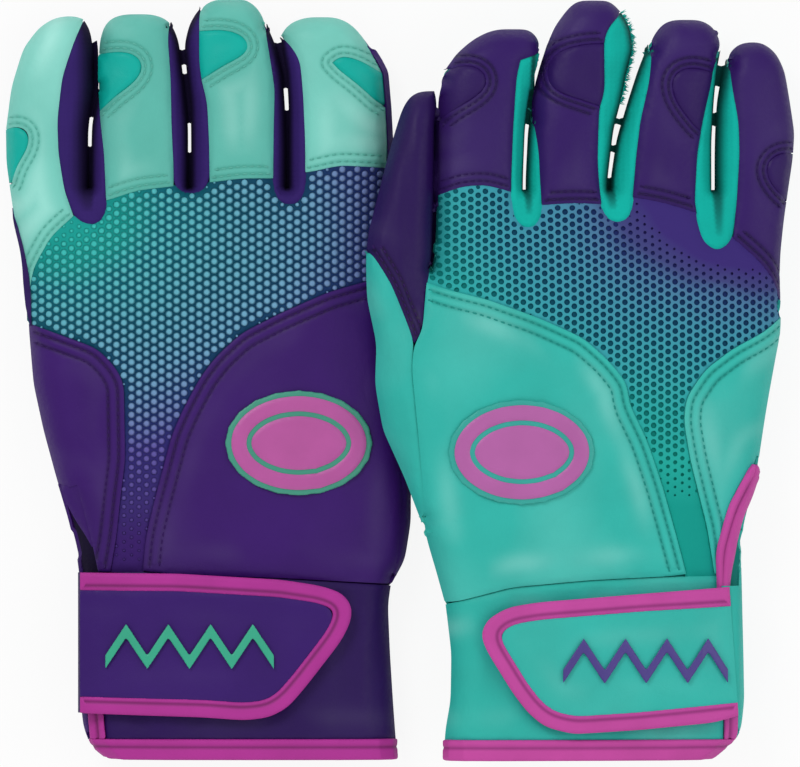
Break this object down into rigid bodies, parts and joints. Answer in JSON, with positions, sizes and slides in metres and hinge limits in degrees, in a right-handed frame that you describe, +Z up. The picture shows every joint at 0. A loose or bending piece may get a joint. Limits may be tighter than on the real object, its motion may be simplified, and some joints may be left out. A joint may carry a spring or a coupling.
{
  "type": "batting gloves",
  "caption": "Pair of padded batting gloves lying palm down, with net backs, stretch finger gussets, bound cuffs and hook-and-loop wrist straps.",
  "frame": {"origin": "centre of the bounding box at the floor under the gloves", "axes": "+Z up from the floor through the backs of the gloves, +Y towards the fingertips, +X from the left glove to the right glove"},
  "size_m": [0.2248, 0.2166, 0.0354],
  "materials": {
    "turquoise_insert": "matte moulded",
    "mint_leather": "soft pebbled",
    "violet_stretch": "knit",
    "violet_leather": "soft pebbled",
    "magenta_binding": "ribbed tape",
    "violet_cuff": "foam-backed knit",
    "blue_net": "open net",
    "violet_strap": "moulded ribs",
    "turquoise_motif": "matte moulded",
    "magenta_patch": "matte moulded",
    "violet_insert": "matte moulded",
    "turquoise_stretch": "knit",
    "sea_green_leather": "soft pebbled",
    "sea_green_cuff": "foam-backed knit",
    "sea_green_strap": "moulded ribs",
    "violet_motif": "matte moulded"
  },
  "bodies": {
    "gloves": {"left_index_knuckle_insert": "turquoise_insert", "left_index_finger_top": "mint_leather", "left_middle_knuckle_insert": "turquoise_insert", "left_middle_finger_top": "mint_leather", "left_ring_knuckle_insert": "turquoise_insert", "left_ring_finger_top": "mint_leather", "left_pinky_knuckle_insert": "turquoise_insert", "left_pinky_finger_top": "mint_leather", "left_index_middle_gusset": "violet_stretch", "left_middle_ring_gusset": "violet_stretch", "left_ring_pinky_gusset": "violet_stretch", "left_thumb_back": "mint_leather", "left_thumb_side_panel": "violet_leather", "left_dorsal_panel": "violet_leather", "left_pinky_side_panel": "violet_leather", "left_slit_binding": "magenta_binding", "left_palm_side_strip": "violet_leather", "left_cuff_back": "violet_cuff", "left_back_mesh": "blue_net", "left_thumb_palm": "violet_leather", "left_palm": "violet_leather", "left_cuff_palm": "violet_cuff", "left_hem_binding": "magenta_binding", "left_loop_pad": "violet_cuff", "left_back_patch": "magenta_patch", "right_index_knuckle_insert": "violet_insert", "right_index_finger_top": "violet_leather", "right_middle_knuckle_insert": "violet_insert", "right_middle_finger_top": "violet_leather", "right_ring_knuckle_insert": "violet_insert", "right_ring_finger_top": "violet_leather", "right_pinky_knuckle_insert": "violet_insert", "right_pinky_finger_top": "violet_leather", "right_index_middle_gusset": "turquoise_stretch", "right_middle_ring_gusset": "turquoise_stretch", "right_ring_pinky_gusset": "turquoise_stretch", "right_thumb_back": "violet_leather", "right_thumb_side_panel": "sea_green_leather", "right_dorsal_panel": "sea_green_leather", "right_pinky_side_panel": "sea_green_leather", "right_slit_binding": "magenta_binding", "right_palm_side_strip": "sea_green_leather", "right_cuff_back": "sea_green_cuff", "right_back_mesh": "blue_net", "right_thumb_palm": "sea_green_leather", "right_palm": "sea_green_leather", "right_cuff_palm": "sea_green_cuff", "right_hem_binding": "magenta_binding", "right_loop_pad": "sea_green_cuff", "right_back_patch": "magenta_patch"},
    "left_strap_flap": {"left_hook_pad": "violet_strap", "left_strap": "violet_strap", "left_strap_binding": "magenta_binding", "left_strap_motif": "turquoise_motif"},
    "right_strap_flap": {"right_hook_pad": "sea_green_strap", "right_strap": "sea_green_strap", "right_strap_binding": "magenta_binding", "right_strap_motif": "violet_motif"}
  },
  "joints": [
    {"name": "left_strap_hinge", "type": "hinge", "parent": "gloves", "child": "left_strap_flap", "pos_m": [-0.09178, -0.07595, 0.0135], "axis": [0, -1, 0], "range_deg": [0, 120]},
    {"name": "right_strap_hinge", "type": "hinge", "parent": "gloves", "child": "right_strap_flap", "pos_m": [0.09781, -0.07993, 0.01695], "axis": [0, 1, 0], "range_deg": [0, 120]}
  ]
}
